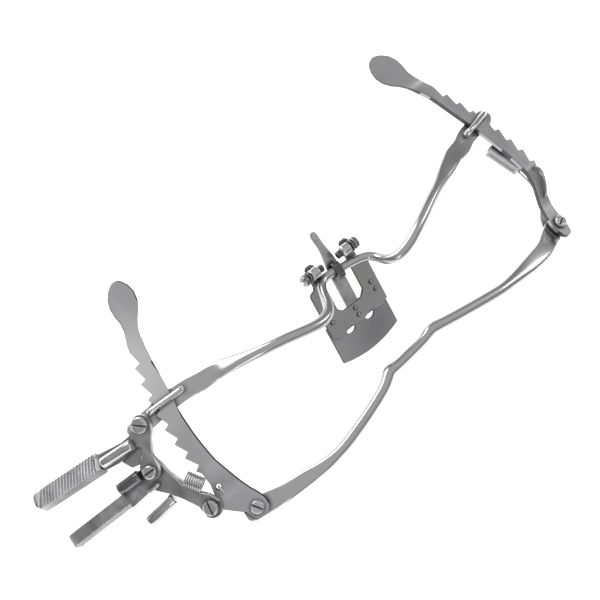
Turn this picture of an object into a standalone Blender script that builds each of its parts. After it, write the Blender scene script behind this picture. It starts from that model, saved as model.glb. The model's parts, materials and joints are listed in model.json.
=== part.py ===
"""Two-bow ratchet mouth gag with a tongue plate and a side spreader.

The tooth bow is the fixed frame of the part. Each end of it carries a
screw on which a toothed rack turns. The tongue bow slides along the racks
and is held by a wire staple over each one. X runs from the left rack to
the right rack, Y is the way the jaws open and Z points to the front of
the patient's mouth.
"""
import math

import bmesh
import bpy
from mathutils import Matrix, Vector

for old in list(bpy.data.objects):
    bpy.data.objects.remove(old, do_unlink=True)

MM = 0.001
WELD = 0.001 * MM
SHARP_ANGLE = math.radians(38.0)

# overall sizes
PIVOT_SPAN = 150.0 * MM
MIDDLE_SPAN = 32.0 * MM
DRAWN_SPAN = 150.0 * MM
CHEEK_TILT = math.radians(20.0)
RACK_LIFT = 6.8 * MM

# racks
RACK_THICKNESS = 1.5 * MM
RACK_ARC_RADIUS = 97.6 * MM
RACK_REACH = 6.1 * MM
RACK_ARC_V = 18.5 * MM
TOOTH_COUNT = 9
TOOTH_PITCH = 5.46 * MM
TOOTH_DEPTH = 2.0 * MM
TOOTH_FACE = 1.0 * MM
FIRST_TIP_RUN = 46.46 * MM
RACK_WIDTH = 7.2 * MM
RACK_TAPER = 1.9 * MM
PADDLE_HALF_WIDTH = 4.7 * MM
PADDLE_TWIST = {"left": math.radians(12.0), "right": math.radians(36.0)}
PIVOT_HOLE_RADIUS = 1.7 * MM

# bows
STRAP_WIDTH = 6.4 * MM
STRAP_THICKNESS = 1.8 * MM
EYE_WIDTH = 6.8 * MM
TONGUE_WIRE = 4.0 * MM
TONGUE_BAR_WIRE = 3.2 * MM
TOOTH_WIRE = 4.0 * MM
TOOTH_BAR_WIRE = 3.4 * MM
GAP = 0.3 * MM

# pivot hardware
PIVOT_SHANK_RADIUS = 1.3 * MM
PIVOT_HEAD_RADIUS = 2.2 * MM
PIVOT_HEAD_HEIGHT = 1.5 * MM
WASHER_RADIUS = 2.9 * MM
WASHER_THICKNESS = 0.8 * MM
NUT_RADIUS = 2.7 * MM
NUT_THICKNESS = 1.6 * MM
SLOT_WIDTH = 0.6 * MM
SLOT_DEPTH = 0.7 * MM

# staples
STAPLE_WIRE_RADIUS = 1.0 * MM
STAPLE_SIDE_ROOM = 3.2 * MM
STAPLE_V = 43.6 * MM

# guard on the right end of the tooth bow
GUARD_THICKNESS = 1.2 * MM
CHANNEL_LENGTH = 12.5 * MM
CHANNEL_WIDTH = 4.2 * MM
CHANNEL_WALL = 0.7 * MM

# tongue plate
PLATE_SKEW = math.radians(-3.5)
PLATE_DIP = math.radians(30.0)
PLATE_THICKNESS = 1.2 * MM
PLATE_HALF_WIDTH = 12.4 * MM
BLADE_CORNER = 26.4 * MM
BLADE_LENGTH = 28.4 * MM
BLADE_THICKNESS = 1.0 * MM
NOTCH_HALF_WIDTH = 5.9 * MM
NOTCH_FLOOR = 10.6 * MM
RIVET_RADIUS = 0.9 * MM
RIVET_HEIGHT = 0.5 * MM
STRIP_HALF_WIDTH = 2.5 * MM
STRIP_THICKNESS = 1.0 * MM
BARREL_RADIUS = 2.0 * MM
BARREL_LENGTH = 3.8 * MM
DISC_RADIUS = 2.1 * MM
CLAMP_HEAD_RADIUS = 2.0 * MM
BLOCK_SHIFT = 2.0 * MM
CLAMP_HEIGHT = 7.4 * MM
CLAMP_SHIFT = -1.4 * MM
CLAMP_SPREAD = 6.9 * MM

# side spreader
SPREADER_TILT = math.radians(40.0)
GRIP_WIDTH = 6.2 * MM
GRIP_THICKNESS = 4.2 * MM
RIDGE_COUNT = 19
RIDGE_DEPTH = 0.6 * MM
LEVER_THICKNESS = 2.0 * MM
PEG_RADIUS = 2.0 * MM
BARREL_ROD_RADIUS = 1.8 * MM
SPRING_WIRE_RADIUS = 0.36 * MM
SPRING_RADIUS = 2.3 * MM
SPRING_TURNS = 8

part = bpy.data.collections.new("mouth_gag")
cutters = bpy.data.collections.new("mouth_gag_cutters")
bpy.context.scene.collection.children.link(part)
bpy.context.scene.collection.children.link(cutters)


def material(name, colour, roughness, metallic=1.0):
    mat = bpy.data.materials.new(name)
    mat.use_nodes = True
    shader = mat.node_tree.nodes["Principled BSDF"]
    shader.inputs["Base Color"].default_value = (*colour, 1.0)
    shader.inputs["Metallic"].default_value = metallic
    shader.inputs["Roughness"].default_value = roughness
    mat.diffuse_color = (*colour, 1.0)
    return mat


SATIN = material("satin_steel", (0.42, 0.42, 0.44), 0.38)
BRIGHT = material("polished_steel", (0.56, 0.56, 0.58), 0.22)
BRUSHED = material("brushed_steel", (0.38, 0.385, 0.40), 0.42)
DARK = material("dark_steel", (0.10, 0.10, 0.11), 0.45)
SPRING = material("spring_steel", (0.46, 0.46, 0.45), 0.30)


def frame(origin, x_axis, y_axis, z_axis):
    cols = [Vector(x_axis), Vector(y_axis), Vector(z_axis)]
    rows = [[cols[c][r] for c in range(3)] + [origin[r]] for r in range(3)]
    return Matrix(rows + [[0, 0, 0, 1]])


def make(name, bm, mat, origin, smooth=False, home=None):
    """One mesh object from a world-space bmesh, with its origin at the given world point."""
    bmesh.ops.recalc_face_normals(bm, faces=bm.faces)
    for f in bm.faces:
        f.smooth = smooth
    for e in bm.edges:
        e.smooth = len(e.link_faces) != 2 or e.calc_face_angle(0.0) < SHARP_ANGLE
    bmesh.ops.translate(bm, verts=bm.verts, vec=-Vector(origin))
    mesh = bpy.data.meshes.new(name)
    bm.to_mesh(mesh)
    bm.free()
    obj = bpy.data.objects.new(name, mesh)
    obj.location = origin
    if mat is not None:
        mesh.materials.append(mat)
    (home or part).objects.link(obj)
    return obj


def cut(target, cutter):
    cutter.hide_render = True
    cutter.display_type = "WIRE"
    mod = target.modifiers.new(cutter.name, "BOOLEAN")
    mod.operation = "DIFFERENCE"
    mod.solver = "EXACT"
    mod.object = cutter


def lathe(name, profile, place, mat, origin, segments=28, home=None):
    """Closed solid turned about local Z from (radius, height) pairs."""
    bm = bmesh.new()
    points = [bm.verts.new(place @ Vector((r, 0, z))) for r, z in profile]
    line = [bm.edges.new(pair) for pair in zip(points, points[1:])]
    if profile[0][0] > 0 and profile[-1][0] > 0:
        line.append(bm.edges.new((points[-1], points[0])))
    bmesh.ops.spin(bm, geom=points + line, cent=place.to_translation(),
                   axis=place.to_3x3() @ Vector((0, 0, 1)), angle=2 * math.pi, steps=segments, use_merge=True)
    bmesh.ops.remove_doubles(bm, verts=bm.verts, dist=WELD)
    return make(name, bm, mat, origin, smooth=True, home=home)


def rod(radius, z0, z1, bevel):
    return [(0, z0), (radius - bevel, z0), (radius, z0 + bevel),
            (radius, z1 - bevel), (radius - bevel, z1), (0, z1)]


def prism(name, outline, z0, z1, place, mat, origin, smooth=True, home=None):
    """A flat outline drawn out to its thickness."""
    bm = bmesh.new()
    flat = bm.faces.new([bm.verts.new(place @ Vector((x, y, z0))) for x, y in outline])
    drawn = bmesh.ops.extrude_face_region(bm, geom=[flat])["geom"]
    bmesh.ops.translate(bm, verts=[v for v in drawn if isinstance(v, bmesh.types.BMVert)],
                        vec=place.to_3x3() @ Vector((0, 0, z1 - z0)))
    return make(name, bm, mat, origin, smooth=smooth, home=home)


def hole(target, place, radius, depth, segments=24):
    name = target.name + "_hole_%d" % len(target.modifiers)
    tool = lathe(name, [(0, -depth), (radius, -depth), (radius, depth), (0, depth)],
                 place, None, place.to_translation(), segments, home=cutters)
    cut(target, tool)


def slot(target, place, width, length, top, depth):
    """A straight slot across a screw head, with its floor under the top."""
    w, l = width / 2, length
    outline = [(-l, -w), (l, -w), (l, w), (-l, w)]
    tool = prism(target.name + "_slot", outline, top - depth, top + 1 * MM, place, None,
                 place.to_translation(), smooth=False, home=cutters)
    cut(target, tool)


def smooth_path(rows, steps):
    """Catmull-Rom through rows of numbers, keeping every given row."""
    out = []
    n = len(rows)
    for i in range(n - 1):
        p0 = rows[max(i - 1, 0)]
        p1, p2 = rows[i], rows[i + 1]
        p3 = rows[min(i + 2, n - 1)]
        for k in range(steps):
            t = k / steps
            out.append([0.5 * (2 * b + (c - a) * t + (2 * a - 5 * b + 4 * c - d) * t * t
                               + (3 * b - a - 3 * c + d) * t ** 3)
                        for a, b, c, d in zip(p0, p1, p2, p3)])
    out.append(list(rows[-1]))
    return out


def loft(bm, rings):
    """Skins rings of equal count and closes both ends."""
    made = [[bm.verts.new(p) for p in ring] for ring in rings]
    for low, high in zip(made, made[1:]):
        for k in range(len(low)):
            bm.faces.new((low[k - 1], low[k], high[k], high[k - 1]))
    bm.faces.new(made[0])
    bm.faces.new(made[-1])


def sweep(name, rows, steps, mat, origin, sides=12):
    """Bar along a path. Rows hold x, y, z, up vector, width, thickness, roundness."""
    pts = smooth_path(rows, steps)
    centres = [Vector(p[0:3]) for p in pts]
    rings = []
    for i, p in enumerate(pts):
        tangent = (centres[min(i + 1, len(pts) - 1)] - centres[max(i - 1, 0)]).normalized()
        up = Vector(p[3:6])
        up = (up - tangent * up.dot(tangent)).normalized()
        side = tangent.cross(up)
        width, thick, power = p[6], p[7], max(p[8], 2.0)
        ring = []
        for k in range(sides):
            a = 2 * math.pi * (k + 0.5) / sides
            c, s = math.cos(a), math.sin(a)
            x = math.copysign(abs(c) ** (2 / power), c) * width / 2
            y = math.copysign(abs(s) ** (2 / power), s) * thick / 2
            ring.append(centres[i] + side * x + up * y)
        rings.append(ring)
    bm = bmesh.new()
    loft(bm, rings)
    return make(name, bm, mat, origin, smooth=True)


def wire(name, points, radius, steps, mat, origin, rounding=2):
    """Round wire through the points, drawn as a curve with filled ends and welded to a mesh."""
    pts = smooth_path([list(p) for p in points], steps) if steps > 1 else points
    curve = bpy.data.curves.new(name, "CURVE")
    curve.dimensions = "3D"
    curve.bevel_depth = radius
    curve.bevel_resolution = rounding
    curve.use_fill_caps = True
    line = curve.splines.new("POLY")
    line.points.add(len(pts) - 1)
    for point, p in zip(line.points, pts):
        point.co = (*p, 1.0)
    drawn = bpy.data.objects.new(name, curve)
    part.objects.link(drawn)
    graph = bpy.context.evaluated_depsgraph_get()
    mesh = bpy.data.meshes.new_from_object(drawn.evaluated_get(graph), depsgraph=graph)
    bpy.data.objects.remove(drawn, do_unlink=True)
    bm = bmesh.new()
    bm.from_mesh(mesh)
    bpy.data.meshes.remove(mesh)
    bmesh.ops.remove_doubles(bm, verts=bm.verts, dist=WELD)
    return make(name, bm, mat, origin, smooth=True)


# cheek frames: x outward, y along the rack, z out of the flat of the rack
def cheek(side):
    ct, st = math.cos(CHEEK_TILT), math.sin(CHEEK_TILT)
    origin = Vector((side * PIVOT_SPAN / 2, 0, 0))
    return frame(origin, (side * ct, 0, -st), (0, 1, 0), (side * st, 0, ct))


CHEEK = {"left": cheek(-1), "right": cheek(1)}
PIVOT = {side: CHEEK[side].to_translation() for side in CHEEK}


def lift(v):
    """Height of the rack's middle over its pivot flat at distance v."""
    t = min(max((v - 6 * MM) / (15 * MM), 0.0), 1.0)
    return RACK_LIFT * t * t * (3 - 2 * t)


# the arc of the tooth tips, whose outermost point is RACK_REACH outside the pivot
RACK_ARC_U = RACK_REACH - RACK_ARC_RADIUS


def tip(k):
    return (FIRST_TIP_RUN - TOOTH_PITCH * (k - 1)) / RACK_ARC_RADIUS


def on_arc(angle, radius):
    return (RACK_ARC_U + radius * math.cos(angle), RACK_ARC_V + radius * math.sin(angle))


def rack_stations(side):
    """Pairs of inner and outer edge points from the lobe to the paddle."""
    mm = MM
    rows = []
    if side == "left":
        lobe = [((-1.5, -3.3), (0.9, -3.3)), ((-3.0, -2.5), (2.4, -2.6)), ((-4.0, -1.2), (3.2, -1.1)),
                ((-4.3, 0.8), (3.6, 1.2)), ((-3.8, 3.4), (6.2, 4.4)), ((-2.9, 6.4), (8.9, 7.6)),
                ((-2.3, 9.4), (9.1, 9.8)), ((-1.9, 12.2), (6.9, 12.4)), ((-1.6, 15.0), (5.7, 15.4))]
    else:
        lobe = [((-1.3, -5.4), (0.7, -5.4)), ((-2.6, -4.3), (2.0, -4.3)), ((-3.2, -2.0), (2.8, -1.8)),
                ((-3.2, 0.6), (3.1, 1.2)), ((-2.6, 3.0), (3.4, 3.6)), ((-1.6, 6.0), (4.1, 6.6)),
                ((-0.9, 9.0), (4.7, 9.6)), ((-0.5, 12.0), (5.1, 12.4)), ((-0.4, 15.0), (5.4, 15.4))]
    for inner, outer in lobe:
        rows.append(((inner[0] * mm, inner[1] * mm), (outer[0] * mm, outer[1] * mm), 0.0))
    inner_radius = RACK_ARC_RADIUS - RACK_WIDTH
    rows.append((on_arc(tip(TOOTH_COUNT) - 0.016, inner_radius),
                 on_arc(tip(TOOTH_COUNT) - 0.016, RACK_ARC_RADIUS - 0.9 * mm), 0.0))
    for k in range(TOOTH_COUNT, 0, -1):
        a = tip(k)
        b = a + TOOTH_FACE / RACK_ARC_RADIUS
        slim = RACK_TAPER * max(0.0, (4 - k) / 3) ** 1.5
        rows.append((on_arc(a, inner_radius + slim), on_arc(a, RACK_ARC_RADIUS), 0.0))
        if k > 1:
            rows.append((on_arc(b, inner_radius + slim * 1.2), on_arc(b, RACK_ARC_RADIUS - TOOTH_DEPTH), 0.0))
    axis = Vector((-0.375, 0.927))
    across = Vector((0.927, 0.375))
    w = PADDLE_HALF_WIDTH
    sway = 0.9 if side == "left" else 0.0
    root = Vector(on_arc(tip(1), RACK_ARC_RADIUS - RACK_WIDTH / 2))
    for cu, cv, half, turn in ((-1.0, 3.7, 0.55 * w, 0.05), (-2.0, 5.7, 0.50 * w, 0.45),
                               (-3.2, 7.8, 0.50 * w, 0.85), (-4.5, 10.0, 0.62 * w, 1.0),
                               (-5.7, 12.4, 0.86 * w, 1.0), (-6.9, 15.0, 1.0 * w, 1.0),
                               (-8.1, 17.6, 0.96 * w, 1.0), (-9.1, 19.9, 0.72 * w, 1.0),
                               (-9.7, 21.4, 0.42 * w, 1.0), (-10.0, 22.0, 0.18 * w, 1.0)):
        c = root + Vector(((cu + sway) * mm, (cv - sway) * mm))
        p, q = c - across * half, c + across * half
        rows.append(((p.x, p.y), (q.x, q.y), turn * PADDLE_TWIST[side]))
    return rows


def rack(side):
    """The flat of the rack, lofted across its width; the paddle turns out of the flat."""
    place = CHEEK[side]
    rings = []
    for inner, outer, twist in rack_stations(side):
        mid = Vector(((inner[0] + outer[0]) / 2, (inner[1] + outer[1]) / 2, 0))
        out = Vector((-math.sin(twist), 0, math.cos(twist))) * RACK_THICKNESS / 2
        corners = []
        for e, sign in ((inner, -1), (outer, 1)):
            flat = Vector((e[0], e[1], 0)) - mid
            turned = Vector((flat.x * math.cos(twist), flat.y * math.cos(twist),
                             sign * flat.length * math.sin(twist)))
            corners.append(mid + turned + Vector((0, 0, lift(e[1]))))
        rings.append([place @ (corners[0] + out), place @ (corners[0] - out),
                      place @ (corners[1] - out), place @ (corners[1] + out)])
    bm = bmesh.new()
    loft(bm, rings)
    obj = make(side + "_rack", bm, SATIN, PIVOT[side], smooth=True)
    hole(obj, place, PIVOT_HOLE_RADIUS, 3 * MM)
    return obj


left_rack = rack("left")
right_rack = rack("right")
hook_v = 13.2 * MM
hook_u = 4.2 * MM
hole(left_rack, CHEEK["left"] @ Matrix.Translation((hook_u, hook_v, lift(hook_v))), 0.8 * MM,
     4 * MM, segments=14)

# heights under each rack at the pivot
eye_top = -RACK_THICKNESS / 2 - GAP - WASHER_THICKNESS - GAP
eye_mid = eye_top - STRAP_THICKNESS / 2
eye_low = eye_top - STRAP_THICKNESS


def up_of(side):
    return list(CHEEK[side].to_3x3() @ Vector((0, 0, 1)))


def row(side, u, v, n, width, thick, power):
    p = CHEEK[side] @ Vector((u * MM, v * MM, n))
    return list(p) + up_of(side) + [width, thick, power]


def free(x, y, z, up, width, thick, power):
    """A bend of a bow; a change of the pivot span stretches only the side runs."""
    side_run = DRAWN_SPAN / 2 - MIDDLE_SPAN / 2
    share = min(max((abs(x * MM) - MIDDLE_SPAN / 2) / (side_run * 0.81), 0.0), 1.0)
    out = math.copysign(share * (PIVOT_SPAN - DRAWN_SPAN) / 2, x)
    return [x * MM + out, y * MM, z * MM] + list(up) + [width, thick, power]


T = STRAP_THICKNESS
WB = TOOTH_WIRE
BB = TOOTH_BAR_WIRE
tooth_rows = [
    row("left", 4.6, 0.6, eye_mid, 3.4 * MM, T, 5), row("left", 3.4, 0.4, eye_mid, 6.4 * MM, T, 5),
    row("left", 0.0, 0.0, eye_mid, EYE_WIDTH, T, 5), row("left", -4.6, -1.4, eye_mid, 7.0 * MM, T, 5),
    free(-64.0, -2.9, 1.3, (0.28, 0, 0.96), 6.0 * MM, 2.2 * MM, 3.5),
    free(-57.5, -3.9, 3.2, (0.22, 0, 1), 5.4 * MM, 2.6 * MM, 3),
    free(-51.2, -5.1, 5.5, (0.2, 0, 1), 4.6 * MM, 3.2 * MM, 2.4), free(-45.6, -5.3, 7.0, (0.1, 0, 1), WB, WB, 2),
    free(-40.6, -4.9, 8.2, (0.1, 0, 1), WB, WB, 2), free(-31.2, -3.2, 9.8, (0, 0, 1), WB, WB, 2),
    free(-21.7, -1.0, 10.7, (0, 0, 1), WB, WB, 2), free(-17.2, 0.7, 11.0, (0, 0, 1), WB * 1.06, WB, 2),
    free(-14.1, 2.3, 11.0, (0, 0, 1), WB * 1.1, WB, 2), free(-10.4, 1.9, 11.0, (0, 0, 1), BB, BB, 2),
    free(-4.1, 2.0, 11.0, (0, 0, 1), BB, BB, 2), free(2.3, 2.2, 11.0, (0, 0, 1), BB, BB, 2),
    free(5.9, 2.9, 11.0, (0, 0, 1), WB, WB, 2), free(8.6, 2.8, 11.0, (0, 0, 1), WB * 1.06, WB, 2),
    free(11.9, 1.9, 11.0, (0, 0, 1), WB, WB, 2), free(21.4, -0.3, 10.5, (0, 0, 1), WB, WB, 2),
    free(31.8, -2.4, 9.5, (0, 0, 1), WB, WB, 2), free(37.6, -3.4, 8.8, (-0.1, 0, 1), WB, WB, 2),
    free(43.8, -3.7, 7.5, (-0.1, 0, 1), 4.4 * MM, 3.4 * MM, 2.3),
    free(51.1, -3.8, 5.5, (-0.2, 0, 1), 5.3 * MM, 2.8 * MM, 2.8),
    free(58.7, -3.6, 3.4, (-0.22, 0, 1), 6.1 * MM, 2.4 * MM, 3.2),
    free(64.6, -3.0, 1.2, (-0.28, 0, 0.96), 6.4 * MM, 2.2 * MM, 3.5),
    row("right", -4.6, -1.6, eye_mid, 7.0 * MM, T, 5), row("right", 0.0, 0.0, eye_mid, EYE_WIDTH, T, 5),
    row("right", 2.4, 0.2, eye_mid, 6.4 * MM, T, 5), row("right", 3.3, 0.3, eye_mid, 3.8 * MM, T, 5),
]
tooth_bow = sweep("tooth_bow", tooth_rows, 2, BRUSHED, Vector((0, 0, 0)))
for side in ("left", "right"):
    hole(tooth_bow, CHEEK[side] @ Matrix.Translation((0, 0, eye_mid)), PIVOT_HOLE_RADIUS, 2.5 * MM)

# tongue bow: straps under the racks, wire arch and stepped middle
strap_mid = RACK_LIFT - RACK_THICKNESS / 2 - GAP - T / 2
strap_top = strap_mid + T / 2
WA = TONGUE_WIRE
BA = TONGUE_BAR_WIRE
SW = STRAP_WIDTH
tongue_rows = [
    row("left", 13.4, 44.0, strap_mid, 3.0 * MM, T, 5), row("left", 12.0, 44.0, strap_mid, 5.8 * MM, T, 5),
    row("left", 9.0, 44.0, strap_mid, 6.6 * MM, T, 5), row("left", 3.0, 43.9, strap_mid, SW, T, 5),
    row("left", -8.0, 43.0, strap_mid, SW, T, 5),
    row("left", -14.0, 41.2, strap_mid, SW, T, 4.5), free(-57.9, 40.3, 11.2, (0.35, 0, 0.94), 6.2 * MM, 2.1 * MM, 3.6),
    free(-54.4, 39.0, 13.1, (0.35, 0, 0.94), 5.7 * MM, 2.4 * MM, 3),
    free(-50.9, 37.4, 15.2, (0.3, 0, 1), 5.0 * MM, 3.0 * MM, 2.4), free(-44.3, 34.5, 18.6, (0.2, 0, 1), WA, WA, 2),
    free(-36.1, 32.0, 20.3, (0, 0, 1), WA, WA, 2), free(-27.5, 29.3, 19.7, (0, 0, 1), WA, WA, 2),
    free(-22.3, 28.4, 18.6, (0, -0.3, 1), WA, WA, 2), free(-17.6, 29.3, 16.9, (0, -0.5, 1), WA, WA, 2),
    free(-14.8, 32.0, 15.1, (0, -0.5, 1), WA * 0.95, WA * 0.95, 2), free(-12.5, 35.6, 13.2, (0, -0.5, 1), BA, BA, 2),
    free(-10.1, 38.2, 12.0, (0, -0.3, 1), BA, BA, 2), free(-6.6, 39.0, 11.4, (0, 0, 1), BA, BA, 2),
    free(-1.0, 37.9, 11.3, (0, 0, 1), BA, BA, 2), free(5.8, 36.3, 11.3, (0, 0, 1), BA, BA, 2),
    free(9.2, 34.7, 11.6, (0, -0.2, 1), BA, BA, 2), free(10.6, 32.3, 12.8, (0, -0.5, 1), BA, BA, 2),
    free(11.3, 29.7, 15.0, (0, -0.5, 1), WA * 0.92, WA * 0.92, 2),
    free(12.9, 28.0, 17.4, (0, -0.5, 1), WA * 0.95, WA * 0.95, 2), free(15.9, 27.6, 19.2, (0, -0.3, 1), WA, WA, 2),
    free(20.2, 28.4, 20.0, (0, 0, 1), WA, WA, 2), free(25.7, 30.2, 20.2, (0, 0, 1), WA, WA, 2),
    free(31.2, 32.1, 19.4, (0, 0, 1), WA, WA, 2), free(36.6, 34.0, 18.2, (-0.2, 0, 1), WA, WA, 2),
    free(42.4, 35.7, 16.5, (-0.2, 0, 1), WA, WA, 2), free(48.3, 37.5, 14.7, (-0.3, 0, 1), 4.9 * MM, 3.0 * MM, 2.4),
    free(54.0, 39.2, 13.0, (-0.35, 0, 0.94), 5.7 * MM, 2.4 * MM, 3),
    free(58.6, 40.6, 11.2, (-0.35, 0, 0.94), 6.2 * MM, 2.1 * MM, 3.6),
    row("right", -13.0, 41.2, strap_mid, SW, T, 4.5), row("right", -8.0, 43.0, strap_mid, SW, T, 5),
    row("right", 3.0, 43.9, strap_mid, SW, T, 5), row("right", 6.6, 44.2, strap_mid, 5.6 * MM, T, 5),
    row("right", 8.4, 44.4, strap_mid, 2.6 * MM, T, 5),
]
tongue_bow = sweep("tongue_bow", tongue_rows, 2, BRUSHED, Vector((0, STAPLE_V, 0)))

# staples: wire loops over the racks, the outer leg stands at the tooth tips
notch = on_arc(tip(5) + TOOTH_FACE / RACK_ARC_RADIUS, RACK_ARC_RADIUS - TOOTH_DEPTH)
tip_u = RACK_ARC_U + math.sqrt(RACK_ARC_RADIUS ** 2 - (STAPLE_V - RACK_ARC_V) ** 2)
staple_outer_u = tip_u + GAP + 1.1 * STAPLE_WIRE_RADIUS
inner_radius = RACK_ARC_RADIUS - RACK_WIDTH
inner_u = RACK_ARC_U + math.sqrt(inner_radius ** 2 - (STAPLE_V - RACK_ARC_V) ** 2)
staple_inner_u = inner_u - STAPLE_SIDE_ROOM - STAPLE_WIRE_RADIUS
staple_low = strap_top + 0.12 * MM
staple_high = RACK_LIFT + RACK_THICKNESS / 2 + GAP + STAPLE_WIRE_RADIUS


def staple(side):
    r = 1.4 * MM
    lo, hi = staple_low, staple_high
    v0 = STAPLE_V - 0.3 * MM
    v1 = notch[1] + 1.6 * MM
    a, b = staple_inner_u, staple_outer_u
    local = [(a, v0, lo), (a, v0, hi - r), (a + 0.3 * r, v0, hi - 0.3 * r), (a + r, v0, hi),
             (b - r, v1, hi), (b - 0.3 * r, v1, hi - 0.3 * r), (b, v1, hi - r), (b, v1, lo)]
    pts = [CHEEK[side] @ Vector(p) for p in local]
    return wire(side + "_staple", pts, STAPLE_WIRE_RADIUS, 1, BRIGHT, pts[0], rounding=5)


for side in ("left", "right"):
    staple(side)

# pivot screws, washers and nuts
for side in ("left", "right"):
    place = CHEEK[side]
    head_low = RACK_THICKNESS / 2 + GAP
    shank_end = eye_low - GAP - (0 if side == "left" else GUARD_THICKNESS + GAP) - NUT_THICKNESS - 0.6 * MM
    rs, rh = PIVOT_SHANK_RADIUS, PIVOT_HEAD_RADIUS
    bevel = 0.3 * MM
    screw = lathe(side + "_pivot_screw",
                  [(0, shank_end), (rs - 0.2 * MM, shank_end), (rs, shank_end + 0.2 * MM), (rs, head_low),
                   (rh, head_low), (rh, head_low + PIVOT_HEAD_HEIGHT - bevel),
                   (rh - bevel, head_low + PIVOT_HEAD_HEIGHT), (0, head_low + PIVOT_HEAD_HEIGHT)],
                  place, BRIGHT, PIVOT[side])
    turn = Matrix.Rotation(math.radians(65 if side == "left" else 20), 4, "Z")
    slot(screw, place @ turn, SLOT_WIDTH, 4 * MM, head_low + PIVOT_HEAD_HEIGHT, SLOT_DEPTH)
    washer_top = -RACK_THICKNESS / 2 - GAP
    lathe(side + "_pivot_washer",
          [(PIVOT_HOLE_RADIUS, washer_top - WASHER_THICKNESS), (WASHER_RADIUS, washer_top - WASHER_THICKNESS),
           (WASHER_RADIUS, washer_top), (PIVOT_HOLE_RADIUS, washer_top)], place, DARK, PIVOT[side])
    nut_top = eye_low - GAP - (0 if side == "left" else GUARD_THICKNESS + GAP)
    ring = [(NUT_RADIUS * math.cos(math.radians(60 * i)), NUT_RADIUS * math.sin(math.radians(60 * i)))
            for i in range(6)]
    nut = prism(side + "_pivot_nut", ring, nut_top - NUT_THICKNESS, nut_top, place, BRIGHT, PIVOT[side],
                smooth=False)
    hole(nut, place @ Matrix.Translation((0, 0, nut_top)), PIVOT_HOLE_RADIUS, 3 * MM)

# guard arm under the right eye and the folded channel it carries
right = CHEEK["right"]
arm_mid = eye_low - GAP - GUARD_THICKNESS / 2
up = up_of("right")
G = GUARD_THICKNESS


def guard_row(u, v, n, width, power=5):
    p = right @ Vector((u * MM, v * MM, n))
    return list(p) + up + [width * MM, G, power]


guard_rows = [guard_row(-1.2, -4.2, arm_mid, 2.6), guard_row(-0.9, -3.2, arm_mid, 4.8),
              guard_row(0.1, 0.2, arm_mid, 6.0), guard_row(3.3, 3.9, arm_mid, 6.0),
              guard_row(6.9, 7.2, arm_mid + 0.6 * MM, 5.0), guard_row(9.2, 11.6, arm_mid + 1.2 * MM, 4.7),
              guard_row(10.2, 16.0, arm_mid + 1.8 * MM, 4.6), guard_row(9.6, 20.8, arm_mid + 2.2 * MM, 4.4),
              guard_row(8.9, 23.2, arm_mid + 2.4 * MM, 4.0)]
guard = sweep("right_guard_arm", guard_rows, 2, BRUSHED, PIVOT["right"])
hole(guard, right @ Matrix.Translation((0, 0, arm_mid)), PIVOT_HOLE_RADIUS, 2 * MM)

channel_mid = arm_mid + 2.4 * MM
lean = math.radians(17)
channel_place = right @ Matrix.Translation((8.6 * MM, 23.5 * MM, channel_mid)) @ Matrix.Rotation(lean, 4, "Z")
cw, wall = CHANNEL_WIDTH / 2, CHANNEL_WALL
section = [(-cw, -cw * 0.8), (cw, -cw * 0.8), (cw, cw * 0.8), (cw * 0.35, cw * 0.8),
           (cw * 0.35, cw * 0.8 - wall), (cw - wall, cw * 0.8 - wall), (cw - wall, -cw * 0.8 + wall),
           (-cw + wall, -cw * 0.8 + wall), (-cw + wall, cw * 0.8 - wall), (-cw * 0.35, cw * 0.8 - wall),
           (-cw * 0.35, cw * 0.8), (-cw, cw * 0.8)]
stand = Matrix(((1, 0, 0, 0), (0, 0, 1, 0), (0, 1, 0, 0), (0, 0, 0, 1)))
prism("right_guard_channel", section, 0.0, CHANNEL_LENGTH, channel_place @ stand, SATIN,
      channel_place.to_translation(), smooth=False)

# tongue plate frame: x along the bar, y up the plate, z out of its face
cs, ss = math.cos(PLATE_SKEW), math.sin(PLATE_SKEW)
cd, sd = math.cos(PLATE_DIP), math.sin(PLATE_DIP)
tx = Vector((cs, ss, 0))
ty = Vector((-ss * cd, cs * cd, sd))
tz = tx.cross(ty)
TILT_POINT = Vector((-2.3, 36.6, 7.6)) * MM
TONGUE = frame(TILT_POINT, tx, ty, tz)
hinge_line = Vector((-0.5, 37.78, 11.3)) * MM

H = PLATE_HALF_WIDTH
N = NOTCH_HALF_WIDTH
ear_in, ear_out = 6.0 * MM, 9.6 * MM
ear_top = 9.6 * MM


carrier_half = [(N, ear_top - 1.0 * MM), (N + 0.8 * MM, ear_top), (ear_out - 0.8 * MM, ear_top),
                (ear_out, ear_top - 1.0 * MM), (ear_out, 2.6 * MM), (ear_out + 0.5 * MM, 1.4 * MM),
                (H - 1.4 * MM, 1.2 * MM), (H - 0.3 * MM, 0.7 * MM), (H, -0.4 * MM), (H, -16.4 * MM),
                (9.4 * MM, -17.6 * MM), (7.2 * MM, -17.3 * MM), (4.4 * MM, -16.4 * MM), (2.2 * MM, -17.2 * MM)]
outline = carrier_half + [(-x, y) for x, y in reversed(carrier_half)]
outline += [(-N, -NOTCH_FLOOR + 1.9 * MM), (-N + 1.9 * MM, -NOTCH_FLOOR), (N - 1.9 * MM, -NOTCH_FLOOR),
            (N, -NOTCH_FLOOR + 1.9 * MM)]
pt = PLATE_THICKNESS / 2
prism("carrier_plate", outline, -pt, pt, TONGUE, SATIN, hinge_line)

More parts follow.
